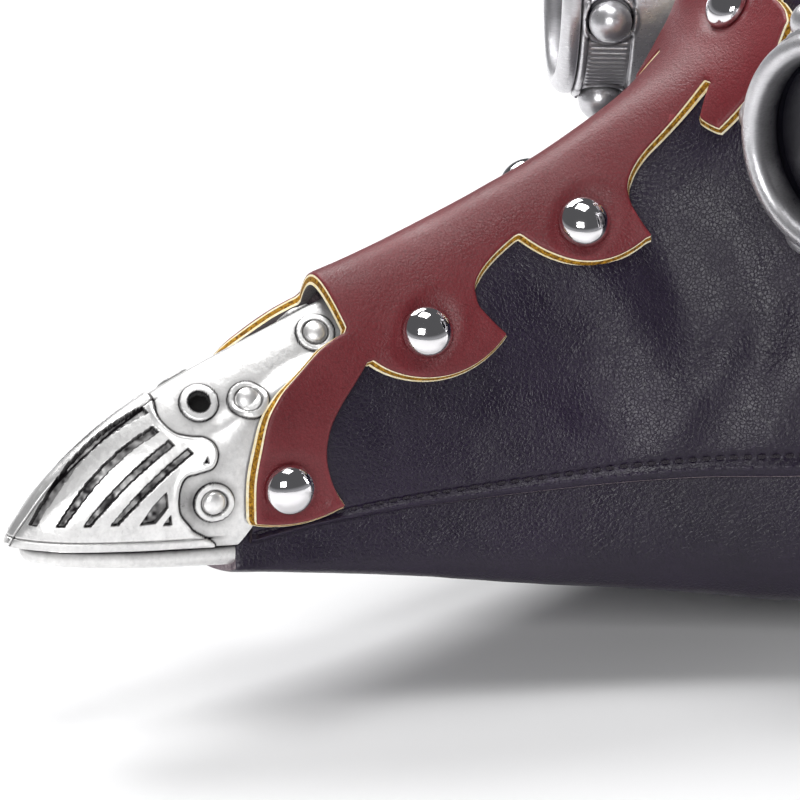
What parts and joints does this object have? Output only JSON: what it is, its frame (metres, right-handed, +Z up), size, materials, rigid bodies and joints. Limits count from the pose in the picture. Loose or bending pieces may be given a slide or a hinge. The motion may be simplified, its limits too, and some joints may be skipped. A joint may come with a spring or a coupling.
{
  "type": "plague doctor mask",
  "caption": "Beaked leather costume mask with round studded goggles, a riveted ridge strap, a cast metal beak tip and a buckled head harness.",
  "frame": {"origin": "on the mask's plane of symmetry at the height of the middle of the lenses, at the bridge of the wearer's nose", "axes": "+Y backwards to the wearer's head, so the beak points to -Y; +X to the wearer's left; +Z up"},
  "size_m": [0.1726, 0.373, 0.2255],
  "materials": {
    "dark_leather": "semi-gloss grained leather, aubergine black",
    "edge_leather": "folded binding of the same leather",
    "red_leather": "satin pebbled leather with pale cut edges",
    "strap_leather": "satin leather strap",
    "pad_cloth": "soft knitted cover over foam",
    "lens_glass": "dark tinted glass",
    "gasket_rubber": "matt rubber",
    "rivet_chrome": "mirror polish",
    "buckle_steel": "polished plate",
    "tip_metal": "antique silver, dark in its recesses",
    "tip_rivet_metal": "antique silver",
    "goggle_metal": "antique silver, finely ribbed",
    "stud_metal": "polished antique silver"
  },
  "bodies": {
    "mask": {"side_panel_left": "dark_leather", "side_panel_right": "dark_leather", "under_panel": "dark_leather", "ridge_strap": "red_leather", "brow_rivet": "rivet_chrome", "crest_rivet": "rivet_chrome", "tip_upper": "tip_metal", "tip_lower": "tip_metal", "brow_pad": "pad_cloth", "cheek_pad_left": "pad_cloth", "cheek_pad_right": "pad_cloth", "face_binding": "edge_leather", "left_strap": "strap_leather", "rear_strap": "strap_leather", "crown_strap": "strap_leather", "crown_rivet_1": "rivet_chrome", "crown_rivet_2": "rivet_chrome", "wing_rivet_left": "rivet_chrome", "front_scallop_rivet_left": "rivet_chrome", "rear_scallop_rivet_left": "rivet_chrome", "tip_upper_rivet_left": "tip_rivet_metal", "tip_middle_rivet_left": "tip_rivet_metal", "tip_lower_rivet_left": "tip_rivet_metal", "temple_rivet_left_1": "rivet_chrome", "temple_rivet_left_2": "rivet_chrome", "goggle_drum_left": "goggle_metal", "goggle_clamp_ring_left": "goggle_metal", "goggle_stud_left_1": "stud_metal", "goggle_stud_left_2": "stud_metal", "goggle_stud_left_3": "stud_metal", "goggle_stud_left_4": "stud_metal", "goggle_stud_left_5": "stud_metal", "goggle_stud_left_6": "stud_metal", "wing_rivet_right": "rivet_chrome", "front_scallop_rivet_right": "rivet_chrome", "rear_scallop_rivet_right": "rivet_chrome", "tip_upper_rivet_right": "tip_rivet_metal", "tip_middle_rivet_right": "tip_rivet_metal", "tip_lower_rivet_right": "tip_rivet_metal", "temple_rivet_right_1": "rivet_chrome", "temple_rivet_right_2": "rivet_chrome", "goggle_drum_right": "goggle_metal", "goggle_clamp_ring_right": "goggle_metal", "goggle_stud_right_1": "stud_metal", "goggle_stud_right_2": "stud_metal", "goggle_stud_right_3": "stud_metal", "goggle_stud_right_4": "stud_metal", "goggle_stud_right_5": "stud_metal", "goggle_stud_right_6": "stud_metal"},
    "left_lens": {"goggle_lens_left": "lens_glass", "goggle_gasket_left": "gasket_rubber"},
    "left_bezel": {"goggle_bezel_left": "goggle_metal"},
    "right_lens": {"goggle_lens_right": "lens_glass", "goggle_gasket_right": "gasket_rubber"},
    "right_bezel": {"goggle_bezel_right": "goggle_metal"},
    "buckle_frame": {"buckle_frame": "buckle_steel"},
    "buckle_roller": {"buckle_roller": "buckle_steel"},
    "buckle_prong": {"buckle_prong": "buckle_steel"},
    "strap_keeper": {"strap_keeper": "strap_leather"}
  },
  "joints": [
    {"name": "left_lens_slide", "type": "slide", "parent": "mask", "child": "left_lens", "axis": [0.3743, -0.9263, 0.0436], "range_m": [0, 0.0031]},
    {"name": "left_bezel_turn", "type": "hinge", "parent": "left_lens", "child": "left_bezel", "pos_m": [0.05083, -0.03323, 0.00103], "axis": [0.3743, -0.9263, 0.0436], "range_deg": [0, 720]},
    {"name": "right_lens_slide", "type": "slide", "parent": "mask", "child": "right_lens", "axis": [-0.3743, -0.9263, 0.0436], "range_m": [0, 0.0031]},
    {"name": "right_bezel_turn", "type": "hinge", "parent": "right_lens", "child": "right_bezel", "pos_m": [-0.05083, -0.03323, 0.00103], "axis": [-0.3743, -0.9263, 0.0436], "range_deg": [0, 720]},
    {"name": "buckle_frame_hinge", "type": "hinge", "parent": "mask", "child": "buckle_frame", "pos_m": [0.0815, 0.08, 0.024], "axis": [0, 0, -1], "range_deg": [0, 4]},
    {"name": "buckle_roller_spin", "type": "hinge", "parent": "buckle_frame", "child": "buckle_roller", "pos_m": [0.0815, 0.096, 0.024], "axis": [0, 0, 1], "continuous": true},
    {"name": "buckle_prong_hinge", "type": "hinge", "parent": "buckle_frame", "child": "buckle_prong", "pos_m": [0.0815, 0.08, 0.024], "axis": [0, 0, -1], "range_deg": [0, 6]},
    {"name": "strap_keeper_slide", "type": "slide", "parent": "mask", "child": "strap_keeper", "axis": [0, 1, 0], "range_m": [-0.004, 0.005]}
  ],
  "couplings": [
    {"joint": "left_lens_slide", "follows": "left_bezel_turn", "m_per_rad": 0.0002387},
    {"joint": "right_lens_slide", "follows": "right_bezel_turn", "m_per_rad": 0.0002387}
  ]
}
